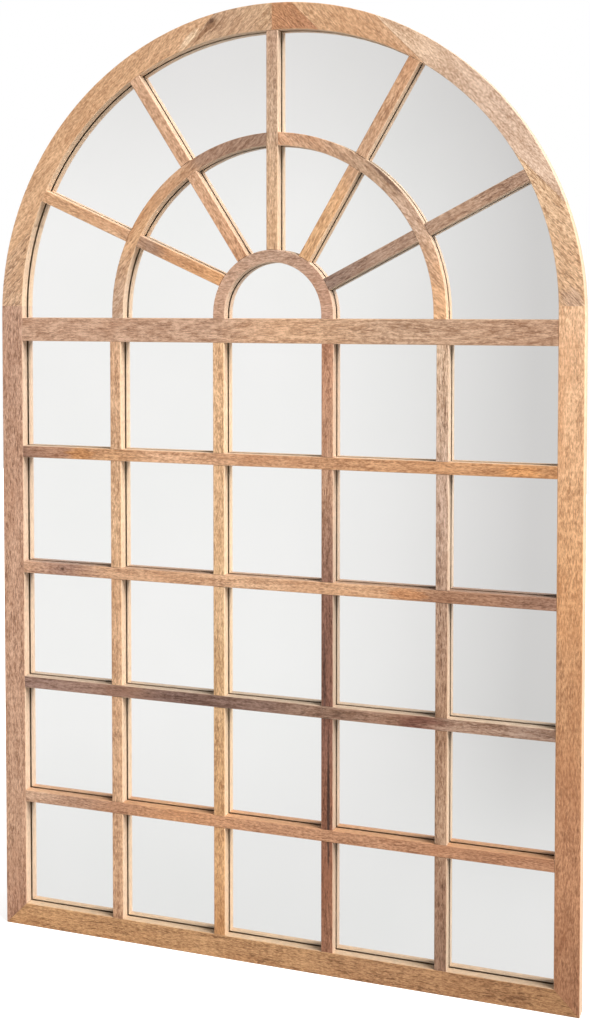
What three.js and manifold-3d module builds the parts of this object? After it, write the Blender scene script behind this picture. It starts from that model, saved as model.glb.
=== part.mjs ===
// Arched window mirror in mango wood. Below a transom, four upright and four level muntins divide the
// mirror into panes. Above it a small half ring, two quarter arcs and five spokes fill a round head.
// Millimetres: X to the right, Y from the front towards the wall, Z up. The origin is in the middle of
// the bottom edge, half way through the frame's thickness.
import * as THREE from 'three';
import { mergeVertices } from 'three/addons/utils/BufferGeometryUtils.js';
import Module from 'manifold-3d';

const wasm = await Module();
wasm.setup();

// The whole mirror
const width = 1150;
const height = 1800;
const frameDepth = 30;
const easing = 1.5; // radius of the rounded arrises
const facetRise = 0.2; // most that a facet may stray from its curve

// The outer frame
const stileWidth = 46;
const railHeight = 45;
const springRise = 19; // the stiles stop this far above the centre of the arch
const innerCentreOut = 16; // each inner quarter of the arch is struck from this far out from the middle
const innerCentreUp = 12; // and from this far above the centre of the outer curve
const leftOuterBoard = 96; // widths of the edge-glued boards, counted inwards from the outer curve
const rightOuterBoard = 54;
const rightMiddleBoard = 89;

// The bars in front of the glass
const barDepth = 17.5;
const muntinWidth = 23;
const paneColumns = 5;
const paneRows = 5;
const transomHeight = 46;
const transomDrop = 4; // from the centre of the arch down to the top of the transom
const ringWidth = 23.5;
const ringRadius = 107.5; // to the middle of the bar, like the next radius
const ringRise = 4; // the ring's centre lies this far above the centre of the arch
const quarterWidth = 24;
const quarterRadius = 324;
const quarterPast = 5; // each quarter arc is struck from this far past the middle
const quarterRise = 3;
const spokeWidth = 23;

// Where each spoke leaves the ring and meets the arch, in degrees round the centre of the arch
const spokes = [
  { name: 'spoke_right_lower', atRing: 29, atArch: 27.5 },
  { name: 'spoke_right_upper', atRing: 59.6, atArch: 59.4 },
  { name: 'spoke_centre', atRing: 90, atArch: 90 },
  { name: 'spoke_left_upper', atRing: 118.8, atArch: 121.9 },
  { name: 'spoke_left_lower', atRing: 146.6, atArch: 153.9 },
];

// Joinery
const jointGap = 0.3; // glue line, and the play round a tenon or a screw
const tenonLength = 8;
const tenonThickness = 8;
const tenonWidth = 15;
const tenonInset = 5; // from the front of the bars back to the tenons
const transomTenonLength = 15;
const transomTenonWidth = 30;
const looseTenonThickness = 8;
const looseTenonWidth = 18;
const looseTenonLength = 40;
const mitreTenonWidth = 16;
const mitreTenonLength = 18;

// Mirror and backing board, in a stepped rebate
const glassThickness = 5;
const glassLap = 12; // the rebate's first step, from the inner edge of the frame outwards
const glassPlay = 1.5;
const boardThickness = 6;
const boardLap = 22; // its second step
const boardPlay = 1;

// Countersunk screws through the edge of the backing board
const boardScrewRadius = 1.75;
const boardScrewHead = 3.5;
const boardScrewHeadHeight = 2.3;
const boardScrewLength = 18;
const screwPoint = 3; // length of every screw's tapered point
const sideScrewCount = 3;
const sideScrewInset = 150; // from the ends of a stile to its first and last screws
const railScrewOut = 270;
const archScrewAngles = [22, 66]; // degrees round the centre of each inner quarter

// Hangers: a strap with a rolled eye, and a ring of wire that swings in it
const hangerHeight = 1180; // of the eye
const strapWidth = 16;
const strapInset = 1; // from the edge of the rebate to the strap
const strapThickness = 1.5;
const strapLength = 46; // below the eye
const strapCorner = 6;
const wireRadius = 2;
const ringHalfWidth = 11.5; // to the middle of the wire, like the next three
const ringShoulder = 3; // radius of the two upper corners
const ringStraight = 2;
const wireEndGap = 0.6; // where the two ends of the wire meet inside the eye
const strapScrewDrops = [27, 39]; // from the eye down to the screws
const strapScrewRadius = 1.9;
const strapScrewHead = 3.8;
const strapScrewHeadHeight = 2.2;
const strapScrewLength = 20;

// Bumpers that keep the lower corners off the wall
const bumperRadius = 6;
const bumperThickness = 3;
const bumperHeight = 30;

// Planes and lines worked out from the sizes
const front = -frameDepth / 2;
const back = frameDepth / 2;
const halfWidth = width / 2;
const openingHalf = halfWidth - stileWidth;
const archCentre = height - halfWidth;
const springLine = archCentre + springRise;
const innerRadius = Math.hypot(openingHalf - innerCentreOut, springRise - innerCentreUp);
const glassFront = front + barDepth;
const glassBack = glassFront + glassThickness;
const boardBack = glassBack + boardThickness;
const lapPlane = front + barDepth / 2;
const transomTop = archCentre - transomDrop;
const transomBottom = transomTop - transomHeight;
const paneWidth = (2 * openingHalf - (paneColumns - 1) * muntinWidth) / paneColumns;
const paneHeight = (transomBottom - railHeight - (paneRows - 1) * muntinWidth) / paneRows;
const ringOuter = ringRadius + ringWidth / 2;
const hangerX = openingHalf + boardLap + strapInset + strapWidth / 2;
const bumperX = openingHalf + (boardLap + stileWidth) / 2;
const screwLine = (glassLap + boardLap - boardPlay) / 2; // from the inner edge of the frame outwards
const tenonFront = front + tenonInset;
const eyeRadius = wireRadius + jointGap + strapThickness;
const farAway = 2 * height; // size of the blocks that cut along a line
const overshoot = 5; // how far a cutter runs past what it cuts

const woodColours = {
  left_stile: 0xbc9378,
  right_stile: 0xd0a076,
  bottom_rail: 0xb0845e,
  transom: 0xc39b80,
  arch_left_crown: 0xc7a280,
  arch_left_middle: 0xd2a680,
  arch_left_foot: 0xcea786,
  arch_right_crown: 0xbf8763,
  arch_right_upper: 0xd3a680,
  arch_right_middle: 0xdbb99e,
  arch_right_foot: 0xe4b991,
  level_muntin_1: 0xc89670,
  level_muntin_2: 0xc19677,
  level_muntin_3: 0x947361,
  level_muntin_4: 0xbc8864,
  upright_muntin_1: 0xd2a681,
  upright_muntin_2: 0xd4a97c,
  upright_muntin_3: 0x966a55,
  upright_muntin_4: 0xb18f75,
  ring_arc: 0xc39c83,
  quarter_arc_left: 0xbc9679,
  quarter_arc_right: 0xcda584,
  spoke_right_lower: 0xa78772,
  spoke_right_upper: 0xd3a57e,
  spoke_centre: 0xcda788,
  spoke_left_upper: 0xd3a582,
  spoke_left_lower: 0xd0a582,
};
const tenonColour = 0xc8a878;
const finishes = {
  glass: { color: 0xe6ebea, roughness: 0.03, metalness: 1 },
  board: { color: 0x8a6a4a, roughness: 0.85, metalness: 0 },
  screw: { color: 0xb9b4a6, roughness: 0.35, metalness: 1 },
  hanger: { color: 0xc2c4c6, roughness: 0.3, metalness: 1 },
  bumper: { color: 0x3a3836, roughness: 0.9, metalness: 0 },
};

const mirror = new THREE.Group();

// Turns a closed geometry into a solid that can be joined and cut.
function solidOf(geometry) {
  geometry.deleteAttribute('normal');
  geometry.deleteAttribute('uv');
  const merged = mergeVertices(geometry);
  const corners = [];
  for (let i = 0; i < merged.index.count; i += 3) {
    const [a, b, c] = [0, 1, 2].map((k) => merged.index.getX(i + k));
    if (a !== b && b !== c && c !== a) {
      corners.push(a, b, c);
    }
  }
  const vertProperties = new Float32Array(merged.attributes.position.array);
  const triVerts = new Uint32Array(corners);
  return new wasm.Manifold(new wasm.Mesh({ numProp: 3, vertProperties, triVerts }));
}

function geometryOf(solid) {
  const { vertProperties, triVerts } = solid.getMesh();
  const indexed = new THREE.BufferGeometry();
  indexed.setAttribute('position', new THREE.BufferAttribute(vertProperties, 3));
  indexed.setIndex(new THREE.BufferAttribute(triVerts, 1));
  const geometry = indexed.toNonIndexed();
  geometry.computeVertexNormals();
  return geometry;
}

function addPiece(name, geometry, finish, parent = mirror) {
  const piece = new THREE.Mesh(geometry, new THREE.MeshStandardMaterial(finish));
  piece.name = name;
  parent.add(piece);
  return piece;
}

function addWood(name, solid) {
  const color = woodColours[name] ?? tenonColour;
  addPiece(name, geometryOf(solid), { color, roughness: 0.6, metalness: 0 });
}

function point(x, z) {
  return new THREE.Vector2(x, z);
}

function arcPoints(x, z, radius, from, to) {
  const facetAngle = 2 * Math.acos(1 - facetRise / radius);
  const count = Math.max(2, Math.ceil(Math.abs(to - from) / facetAngle));
  return new THREE.EllipseCurve(x, z, radius, radius, from, to, to < from).getPoints(count);
}

// A flat piece with an outline in the XZ plane, between two depths.
function sheet(points, from, to) {
  const shape = new THREE.Shape(points);
  const geometry = new THREE.ExtrudeGeometry(shape, { depth: to - from, bevelEnabled: false });
  geometry.rotateX(Math.PI / 2);
  geometry.translate(0, to, 0);
  return solidOf(geometry);
}

// The same with rounded arrises at both faces, which lie at the two depths.
function easedSheet(shape, from, to) {
  const geometry = new THREE.ExtrudeGeometry(shape, {
    depth: to - from - 2 * easing,
    bevelThickness: easing,
    bevelSize: easing,
    bevelOffset: -easing,
    bevelSegments: 2,
  });
  geometry.rotateX(Math.PI / 2);
  geometry.translate(0, to - easing, 0);
  return solidOf(geometry);
}

// A bent bar that is rounded at the front only, and flat at the back where it lies on the glass.
function bentBar(points) {
  const blank = easedSheet(new THREE.Shape(points), front, glassFront + 2 * easing);
  return blank.subtract(boxBetween(-farAway, farAway, glassFront, farAway, -farAway, farAway));
}

function boxBetween(left, right, near, far, low, high) {
  const geometry = new THREE.BoxGeometry(right - left, far - near, high - low);
  geometry.translate((left + right) / 2, (near + far) / 2, (low + high) / 2);
  return solidOf(geometry);
}

// Everything to the left of a line through a point at an angle, less half a gap.
function leftOf(x, z, angle, gap = 0) {
  const geometry = new THREE.BoxGeometry(farAway, farAway, farAway);
  geometry.translate(0, 0, (farAway + gap) / 2);
  geometry.rotateY(-angle);
  geometry.translate(x, 0, z);
  return solidOf(geometry);
}

// Lays a length of section, which runs up the Z axis, along a line in the XZ plane.
function alongLine(geometry, line) {
  geometry.rotateY(Math.PI / 2 - line.angle);
  geometry.translate(line.x, 0, line.z);
  return solidOf(geometry);
}

function straightBar(line, barWidth, from = line.from, to = line.to) {
  const half = barWidth / 2;
  const section = new THREE.Shape();
  section.moveTo(-half, glassFront);
  section.absarc(-half + easing, front + easing, easing, Math.PI, 1.5 * Math.PI, false);
  section.absarc(half - easing, front + easing, easing, 1.5 * Math.PI, 2 * Math.PI, false);
  section.lineTo(half, glassFront);
  const geometry = new THREE.ExtrudeGeometry(section, { depth: to - from, bevelEnabled: false, curveSegments: 2 });
  geometry.translate(0, 0, from);
  return alongLine(geometry, line);
}

// A square-edged block along a line, for tenons, mortises and lap notches.
function blockAlong(line, blockWidth, from, to, near, far) {
  const geometry = new THREE.BoxGeometry(blockWidth, far - near, to - from);
  geometry.translate(0, (near + far) / 2, (from + to) / 2);
  return alongLine(geometry, line);
}

// The stub tenons of a bar, as one core that runs through it; with play it is their mortises.
function tenonCore(line, play = 0) {
  const wide = (line.tenonWidth ?? tenonWidth) + 2 * play;
  const long = (line.tenonLength ?? tenonLength) + play;
  const far = tenonFront + tenonThickness;
  return blockAlong(line, wide, line.from - long, line.to + long, tenonFront - play, far + play);
}

// A loose tenon with rounded edges, set half way through the frame across a joint.
function looseTenon(joint, play = 0) {
  const radius = looseTenonThickness / 2 + play;
  const flat = joint.wide / 2 - looseTenonThickness / 2;
  const section = new THREE.Shape();
  section.absarc(-flat, 0, radius, 0.5 * Math.PI, 1.5 * Math.PI, false);
  section.absarc(flat, 0, radius, -0.5 * Math.PI, 0.5 * Math.PI, false);
  const depth = joint.long + 2 * play;
  const geometry = new THREE.ExtrudeGeometry(section, { depth, bevelEnabled: false, curveSegments: 5 });
  geometry.translate(0, 0, -depth / 2);
  return alongLine(geometry, joint);
}

function without(solid, cutters) {
  return cutters.reduce((left, cutter) => left.subtract(cutter), solid);
}

// The clear opening of the frame, made larger or smaller all round by an offset.
function openingPoints(offset) {
  const half = openingHalf + offset;
  const radius = innerRadius + offset;
  const foot = railHeight - offset;
  const start = Math.acos((half - innerCentreOut) / radius);
  const crown = Math.acos(-innerCentreOut / radius);
  const right = arcPoints(innerCentreOut, archCentre + innerCentreUp, radius, start, crown);
  const left = right.slice(0, -1).map((corner) => point(-corner.x, corner.y));
  return [point(-half, foot), point(half, foot), ...right, ...left.reverse()];
}

function frameBlank() {
  const outer = arcPoints(0, archCentre, halfWidth, 0, Math.PI);
  const shape = new THREE.Shape([point(-halfWidth, 0), point(halfWidth, 0), ...outer]);
  shape.holes.push(new THREE.Path(openingPoints(0)));
  const glassStep = sheet(openingPoints(glassLap), glassFront, back + overshoot);
  const boardStep = sheet(openingPoints(boardLap), glassBack, back + overshoot);
  return without(easedSheet(shape, front, back), [glassStep, boardStep]);
}

// The loose tenons of the frame: one at the crown, two at the springing, two at the mitres.
function looseJoints() {
  const mitreAngle = Math.atan2(railHeight, stileWidth);
  const landMiddle = (stileWidth - glassLap) / 2;
  const crownMiddle = archCentre + (halfWidth + innerRadius + innerCentreUp + glassLap) / 2;
  const joints = [
    { name: 'crown_tenon', x: 0, z: crownMiddle, angle: 0, wide: looseTenonWidth, long: looseTenonLength },
  ];
  for (const [side, label] of [[-1, 'left'], [1, 'right']]) {
    const x = side * (halfWidth - landMiddle);
    const mitreZ = (landMiddle * railHeight) / stileWidth;
    const across = side < 0 ? mitreAngle - Math.PI / 2 : Math.PI / 2 - mitreAngle;
    joints.push({
      name: `${label}_spring_tenon`,
      x,
      z: springLine,
      angle: Math.PI / 2,
      wide: looseTenonWidth,
      long: looseTenonLength,
    });
    joints.push({
      name: `${label}_mitre_tenon`,
      x,
      z: mitreZ,
      angle: across,
      wide: mitreTenonWidth,
      long: mitreTenonLength,
    });
  }
  return joints;
}

// Places of the screws in the backing board, on the second step of the rebate.
function boardScrewPlaces() {
  const sideX = openingHalf + screwLine;
  const radius = innerRadius + screwLine;
  const pitch = (springLine - 2 * sideScrewInset) / (sideScrewCount - 1);
  const places = [];
  for (const side of [-1, 1]) {
    for (let i = 0; i < sideScrewCount; i += 1) {
      places.push(point(side * sideX, sideScrewInset + i * pitch));
    }
    for (const degrees of archScrewAngles) {
      const angle = THREE.MathUtils.degToRad(degrees);
      const x = innerCentreOut + radius * Math.cos(angle);
      places.push(point(side * x, archCentre + innerCentreUp + radius * Math.sin(angle)));
    }
    places.push(point(side * railScrewOut, railHeight - screwLine));
  }
  return places;
}

// Half outline of a countersunk screw, from its point up; with play it is the hole that takes it.
function boardScrewProfile(play = 0) {
  const shank = boardScrewRadius + play;
  const head = boardScrewHead + play;
  const profile = [
    point(0, -boardScrewLength - play),
    point(shank, screwPoint - boardScrewLength),
    point(shank, -boardScrewHeadHeight),
    point(head, 0),
  ];
  if (play > 0) {
    profile.push(point(head, overshoot));
  }
  profile.push(point(0, profile.at(-1).y));
  return profile;
}

function turned(profile, sides) {
  return new THREE.LatheGeometry(profile, sides);
}

// Where a line leaves a circle, as a distance along the line.
function exitDistance(line, x, z, radius) {
  const away = point(line.x - x, line.z - z);
  const run = away.dot(point(Math.cos(line.angle), Math.sin(line.angle)));
  return Math.sqrt(run * run - away.lengthSq() + radius * radius) - run;
}

function spokeLine(spoke) {
  const atRing = THREE.MathUtils.degToRad(spoke.atRing);
  const atArch = THREE.MathUtils.degToRad(spoke.atArch);
  const start = point(Math.cos(atRing), Math.sin(atRing)).multiplyScalar(ringOuter);
  const end = point(Math.cos(atArch), Math.sin(atArch)).multiplyScalar(openingHalf);
  const angle = end.clone().sub(start).angle();
  const line = { x: start.x, z: archCentre + start.y, angle };
  const side = Math.abs(end.x) < 1 ? 0 : Math.sign(end.x);
  const crownZ = archCentre + innerCentreUp;
  line.from = exitDistance(line, 0, archCentre + ringRise, ringOuter + jointGap);
  line.to = exitDistance(line, side * innerCentreOut, crownZ, innerRadius - jointGap);
  return line;
}

// A quarter arc's outline, with a straight foot that runs down past the top of the transom.
function quarterPoints(side, extra = 0) {
  const outer = quarterRadius + quarterWidth / 2 + extra;
  const inner = quarterRadius - quarterWidth / 2 - extra;
  const centreZ = archCentre + quarterRise;
  const foot = transomTop - overshoot;
  const points = [
    point(outer - quarterPast, foot),
    ...arcPoints(-quarterPast, centreZ, outer, 0, Math.PI / 2),
    ...arcPoints(-quarterPast, centreZ, inner, Math.PI / 2, 0),
    point(inner - quarterPast, foot),
  ];
  return points.map((corner) => point(side * corner.x, corner.y));
}

function halfDiscPoints(radius) {
  const foot = transomTop - overshoot;
  return [point(radius, foot), ...arcPoints(0, archCentre + ringRise, radius, 0, Math.PI), point(-radius, foot)];
}

function ringPoints() {
  const outer = halfDiscPoints(ringOuter);
  const inner = halfDiscPoints(ringRadius - ringWidth / 2);
  return [...outer, ...inner.reverse()];
}

// The foot of an arc, tenoned down into the transom.
function footLine(x) {
  return { x, z: transomTop, angle: Math.PI / 2, from: 0, to: tenonLength };
}

// Lines of the straight bars
const transomLine = {
  x: 0,
  z: (transomTop + transomBottom) / 2,
  angle: 0,
  from: -openingHalf,
  to: openingHalf,
  tenonWidth: transomTenonWidth,
  tenonLength: transomTenonLength,
};
const levelLines = [];
for (let row = 1; row < paneRows; row += 1) {
  const z = transomBottom - row * paneHeight - (row - 0.5) * muntinWidth;
  levelLines.push({ x: 0, z, angle: 0, from: -openingHalf, to: openingHalf });
}
const uprightLines = [];
for (let column = 1; column < paneColumns; column += 1) {
  const x = -openingHalf + column * paneWidth + (column - 0.5) * muntinWidth;
  uprightLines.push({ x, z: 0, angle: Math.PI / 2, from: railHeight, to: transomBottom });
}
const spokeLines = spokes.map(spokeLine);
const quarterFeet = [-1, 1].map((side) => footLine(side * (quarterRadius - quarterPast)));
const ringFeet = [-1, 1].map((side) => footLine(side * ringRadius));
const joints = looseJoints();
const screwPlaces = boardScrewPlaces();

// Holes for the screws of the backing board and of the hangers
function boardScrewHoles() {
  return screwPlaces.map((place) => {
    const geometry = turned(boardScrewProfile(jointGap), 12);
    geometry.translate(place.x, boardBack, place.y);
    return solidOf(geometry);
  });
}

function strapScrewHoles() {
  const radius = strapScrewRadius + jointGap;
  const depth = strapScrewLength + jointGap;
  const holes = [];
  for (const side of [-1, 1]) {
    for (const drop of strapScrewDrops) {
      const geometry = new THREE.CylinderGeometry(radius, radius, depth, 12);
      geometry.translate(side * hangerX, back + strapThickness - depth / 2, hangerHeight - drop);
      holes.push(solidOf(geometry));
    }
  }
  return holes;
}

// The frame is one outline with a stepped rebate, parted into its boards along the glue lines.
function addFrame() {
  const bars = [transomLine, ...levelLines, ...uprightLines, ...spokeLines];
  const mortises = bars.map((line) => tenonCore(line, jointGap));
  const looseMortises = joints.map((joint) => looseTenon(joint, jointGap));
  const screwHoles = [...boardScrewHoles(), ...strapScrewHoles()];
  const blank = without(frameBlank(), [...mortises, ...looseMortises, ...screwHoles]);

  const aboveSpring = leftOf(0, springLine, 0);
  const belowSpring = leftOf(0, springLine, Math.PI);
  const leftHalf = leftOf(0, 0, Math.PI / 2);
  const rightHalf = leftOf(0, 0, -Math.PI / 2);
  const mitre = Math.atan2(railHeight, stileWidth);
  const uprightsLeft = leftOf(-halfWidth, 0, mitre, jointGap);
  const uprightsRight = leftOf(halfWidth, 0, -mitre, jointGap);
  const railSideLeft = leftOf(-halfWidth, 0, mitre + Math.PI, jointGap);
  const railSideRight = leftOf(halfWidth, 0, Math.PI - mitre, jointGap);
  const lower = blank.intersect(belowSpring);
  addWood('left_stile', lower.intersect(leftHalf).intersect(uprightsLeft));
  addWood('right_stile', lower.intersect(rightHalf).intersect(uprightsRight));
  addWood('bottom_rail', lower.intersect(railSideLeft).intersect(railSideRight));

  const upper = blank.intersect(aboveSpring);
  addLeftArch(upper.intersect(leftHalf));
  addRightArch(upper.intersect(rightHalf));
  for (const joint of joints) {
    addWood(joint.name, looseTenon(joint));
  }
}

// Height at which the glue line that bounds boards of this total width crosses the middle.
function glueHeight(boardsWidth) {
  return archCentre + (halfWidth - boardsWidth) * Math.SQRT2;
}

// The left quarter is cut from two boards glued edge to edge; the inner one shows at both ends.
function addLeftArch(quarter) {
  const z = glueHeight(leftOuterBoard);
  const outside = leftOf(0, z, 0.25 * Math.PI, jointGap);
  const inside = leftOf(0, z, 1.25 * Math.PI, jointGap);
  const crownSide = leftOf(0, archCentre, -0.25 * Math.PI);
  const springSide = leftOf(0, archCentre, 0.75 * Math.PI);
  addWood('arch_left_crown', quarter.intersect(inside).intersect(crownSide));
  addWood('arch_left_middle', quarter.intersect(outside));
  addWood('arch_left_foot', quarter.intersect(inside).intersect(springSide));
}

// The right quarter is cut from three boards.
function addRightArch(quarter) {
  const outerZ = glueHeight(rightOuterBoard);
  const innerZ = glueHeight(rightOuterBoard + rightMiddleBoard);
  const outside = leftOf(0, outerZ, -0.25 * Math.PI, jointGap);
  const inside = leftOf(0, outerZ, 0.75 * Math.PI, jointGap);
  const beyondInner = leftOf(0, innerZ, -0.25 * Math.PI, jointGap);
  const withinInner = leftOf(0, innerZ, 0.75 * Math.PI, jointGap);
  const crownSide = leftOf(0, archCentre, 0.25 * Math.PI);
  const springSide = leftOf(0, archCentre, 1.25 * Math.PI);
  const crownEnd = quarter.intersect(inside).intersect(crownSide);
  addWood('arch_right_crown', crownEnd.intersect(withinInner));
  addWood('arch_right_upper', crownEnd.intersect(beyondInner));
  addWood('arch_right_middle', quarter.intersect(outside));
  addWood('arch_right_foot', quarter.intersect(inside).intersect(springSide));
}

// The transom takes the upright muntins from below and the feet of the arcs from above.
function addTransom() {
  const blank = straightBar(transomLine, transomHeight).add(tenonCore(transomLine));
  const takers = [...uprightLines, ...quarterFeet, ...ringFeet];
  addWood('transom', without(blank, takers.map((line) => tenonCore(line, jointGap))));
}

// Level muntins run through in front; upright ones are halved behind them.
function addMuntins() {
  const notchWidth = muntinWidth + 2 * jointGap;
  levelLines.forEach((line, i) => {
    const blank = straightBar(line, muntinWidth).add(tenonCore(line));
    const notches = uprightLines.map((upright) =>
      blockAlong(upright, notchWidth, upright.from, upright.to, lapPlane, glassFront + overshoot),
    );
    addWood(`level_muntin_${i + 1}`, without(blank, notches));
  });
  uprightLines.forEach((line, i) => {
    const blank = straightBar(line, muntinWidth).add(tenonCore(line));
    const notches = levelLines.map((level) =>
      blockAlong(level, notchWidth, level.from, level.to, front - overshoot, lapPlane),
    );
    addWood(`upright_muntin_${i + 1}`, without(blank, notches));
  });
}

// The quarter arcs lie over four of the spokes, and the centre spoke lies over the arcs.
function addHead() {
  const opening = sheet(openingPoints(-jointGap), front - overshoot, glassFront + overshoot);
  const ringDisc = sheet(halfDiscPoints(ringOuter + jointGap), front - overshoot, glassFront + overshoot);
  const overArc = [-1, 1].map((side) =>
    sheet(quarterPoints(side, jointGap), front - overshoot, lapPlane),
  );
  const underArc = [-1, 1].map((side) =>
    sheet(quarterPoints(side, jointGap), lapPlane, glassFront + overshoot),
  );
  const spokeNotchWidth = spokeWidth + 2 * jointGap;
  const arcNotches = [];
  spokes.forEach((spoke, i) => {
    const line = spokeLines[i];
    const isCentre = spoke.name === 'spoke_centre';
    const blank = straightBar(line, spokeWidth, line.from - overshoot, line.to + 2 * overshoot);
    const trimmed = blank.intersect(opening).subtract(ringDisc);
    addWood(spoke.name, without(trimmed.add(tenonCore(line)), isCentre ? underArc : overArc));
    const near = isCentre ? front - overshoot : lapPlane;
    const far = isCentre ? lapPlane : glassFront + overshoot;
    arcNotches.push(blockAlong(line, spokeNotchWidth, line.from, line.to, near, far));
  });

  const aboveTransom = leftOf(0, transomTop, 0);
  [[-1, 'left'], [1, 'right']].forEach(([side, label], i) => {
    const ownHalf = leftOf(0, 0, (-side * Math.PI) / 2);
    const arc = bentBar(quarterPoints(side)).intersect(aboveTransom).intersect(ownHalf);
    addWood(`quarter_arc_${label}`, without(arc, arcNotches).add(footTenon(quarterFeet[i])));
  });

  const ring = bentBar(ringPoints()).intersect(aboveTransom);
  const spokeMortises = spokeLines.map((line) => tenonCore(line, jointGap));
  addWood('ring_arc', without(ring, spokeMortises).add(footTenon(ringFeet[0])).add(footTenon(ringFeet[1])));
}

// The tenon under the foot of an arc, which reaches up into the bar to be one with it.
function footTenon(line) {
  const far = tenonFront + tenonThickness;
  return blockAlong(line, tenonWidth, -tenonLength, overshoot, tenonFront, far);
}

function addGlazing() {
  const glass = sheet(openingPoints(glassLap - glassPlay), glassFront, glassBack);
  addPiece('mirror_glass', geometryOf(glass), finishes.glass);
  const board = sheet(openingPoints(boardLap - boardPlay), glassBack, boardBack);
  addPiece('backing_board', geometryOf(without(board, boardScrewHoles())), finishes.board);
  screwPlaces.forEach((place, i) => {
    const screw = addPiece(`board_screw_${i + 1}`, turned(boardScrewProfile(), 12), finishes.screw);
    screw.position.set(place.x, boardBack, place.y);
  });
}

// The strap's side view: a flat plate whose top is rolled into an eye for the ring.
function strapSolid() {
  const meets = Math.acos((strapThickness - eyeRadius) / eyeRadius);
  const side = new THREE.Shape();
  side.moveTo(0, -strapLength);
  side.lineTo(strapThickness, -strapLength);
  side.absarc(eyeRadius, 0, eyeRadius, -meets, Math.PI, false);
  const bore = new THREE.Path();
  bore.absarc(eyeRadius, 0, wireRadius + jointGap, 0, 2 * Math.PI, true);
  side.holes.push(bore);
  const geometry = new THREE.ExtrudeGeometry(side, { depth: strapWidth, bevelEnabled: false, curveSegments: 14 });
  geometry.translate(0, 0, -strapWidth / 2);
  const across = new THREE.Vector3(1, 0, 0);
  const outwards = new THREE.Vector3(0, 1, 0);
  const upwards = new THREE.Vector3(0, 0, 1);
  geometry.applyMatrix4(new THREE.Matrix4().makeBasis(outwards, upwards, across));

  const half = strapWidth / 2;
  const rounded = sheet(
    [
      point(half, overshoot + eyeRadius),
      point(-half, overshoot + eyeRadius),
      ...arcPoints(strapCorner - half, strapCorner - strapLength, strapCorner, Math.PI, 1.5 * Math.PI),
      ...arcPoints(half - strapCorner, strapCorner - strapLength, strapCorner, 1.5 * Math.PI, 2 * Math.PI),
    ],
    -overshoot,
    2 * eyeRadius + overshoot,
  );
  const holes = strapScrewDrops.map((drop) => {
    const radius = strapScrewRadius + jointGap;
    const hole = new THREE.CylinderGeometry(radius, radius, 4 * strapThickness, 12);
    hole.translate(0, 0, -drop);
    return solidOf(hole);
  });
  return without(solidOf(geometry).intersect(rounded), holes);
}

// The middle line of the ring's wire, from one end inside the eye round to the other.
class RingWire extends THREE.Curve {
  constructor() {
    super();
    const bottom = -ringShoulder - ringStraight;
    const flat = ringHalfWidth - ringShoulder;
    this.outline = new THREE.Path();
    this.outline.moveTo(wireEndGap / 2, 0);
    this.outline.lineTo(flat, 0);
    this.outline.absarc(flat, -ringShoulder, ringShoulder, 0.5 * Math.PI, 0, true);
    this.outline.lineTo(ringHalfWidth, bottom);
    this.outline.absarc(0, bottom, ringHalfWidth, 0, -Math.PI, true);
    this.outline.lineTo(-ringHalfWidth, -ringShoulder);
    this.outline.absarc(-flat, -ringShoulder, ringShoulder, Math.PI, 0.5 * Math.PI, true);
    this.outline.lineTo(-wireEndGap / 2, 0);
  }

  getPoint(t) {
    const place = this.outline.getPoint(t);
    return new THREE.Vector3(place.x, 0, place.y);
  }
}

function ringGeometry() {
  const section = new THREE.Shape();
  section.absarc(0, 0, wireRadius, 0, 2 * Math.PI, false);
  return new THREE.ExtrudeGeometry(section, { steps: 40, extrudePath: new RingWire(), curveSegments: 4 });
}

function strapScrewGeometry() {
  const profile = [
    point(0, -strapScrewLength),
    point(strapScrewRadius, screwPoint - strapScrewLength),
    point(strapScrewRadius, 0),
    point(strapScrewHead, 0),
    point(strapScrewHead, strapScrewHeadHeight / 2),
    point(strapScrewHead / 2, strapScrewHeadHeight),
    point(0, strapScrewHeadHeight),
  ];
  return turned(profile, 12);
}

function addHangers() {
  for (const [side, label] of [[-1, 'left'], [1, 'right']]) {
    const hanger = new THREE.Group();
    hanger.position.set(side * hangerX, back, hangerHeight);
    addPiece(`${label}_hanger_strap`, geometryOf(strapSolid()), finishes.hanger, hanger);
    const ring = addPiece(`${label}_hanger_ring`, ringGeometry(), finishes.hanger, hanger);
    ring.position.y = eyeRadius;
    strapScrewDrops.forEach((drop, i) => {
      const name = `${label}_hanger_screw_${i + 1}`;
      const screw = addPiece(name, strapScrewGeometry(), finishes.screw, hanger);
      screw.position.set(0, strapThickness, -drop);
    });
    mirror.add(hanger);
  }
}

function addBumpers() {
  for (const [side, label] of [[-1, 'left'], [1, 'right']]) {
    const geometry = new THREE.CylinderGeometry(bumperRadius, bumperRadius, bumperThickness, 24);
    const bumper = addPiece(`${label}_bumper`, geometry, finishes.bumper);
    bumper.position.set(side * bumperX, back + bumperThickness / 2, bumperHeight);
  }
}

addFrame();
addTransom();
addMuntins();
addHead();
addGlazing();
addHangers();
addBumpers();

export default mirror;
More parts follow.
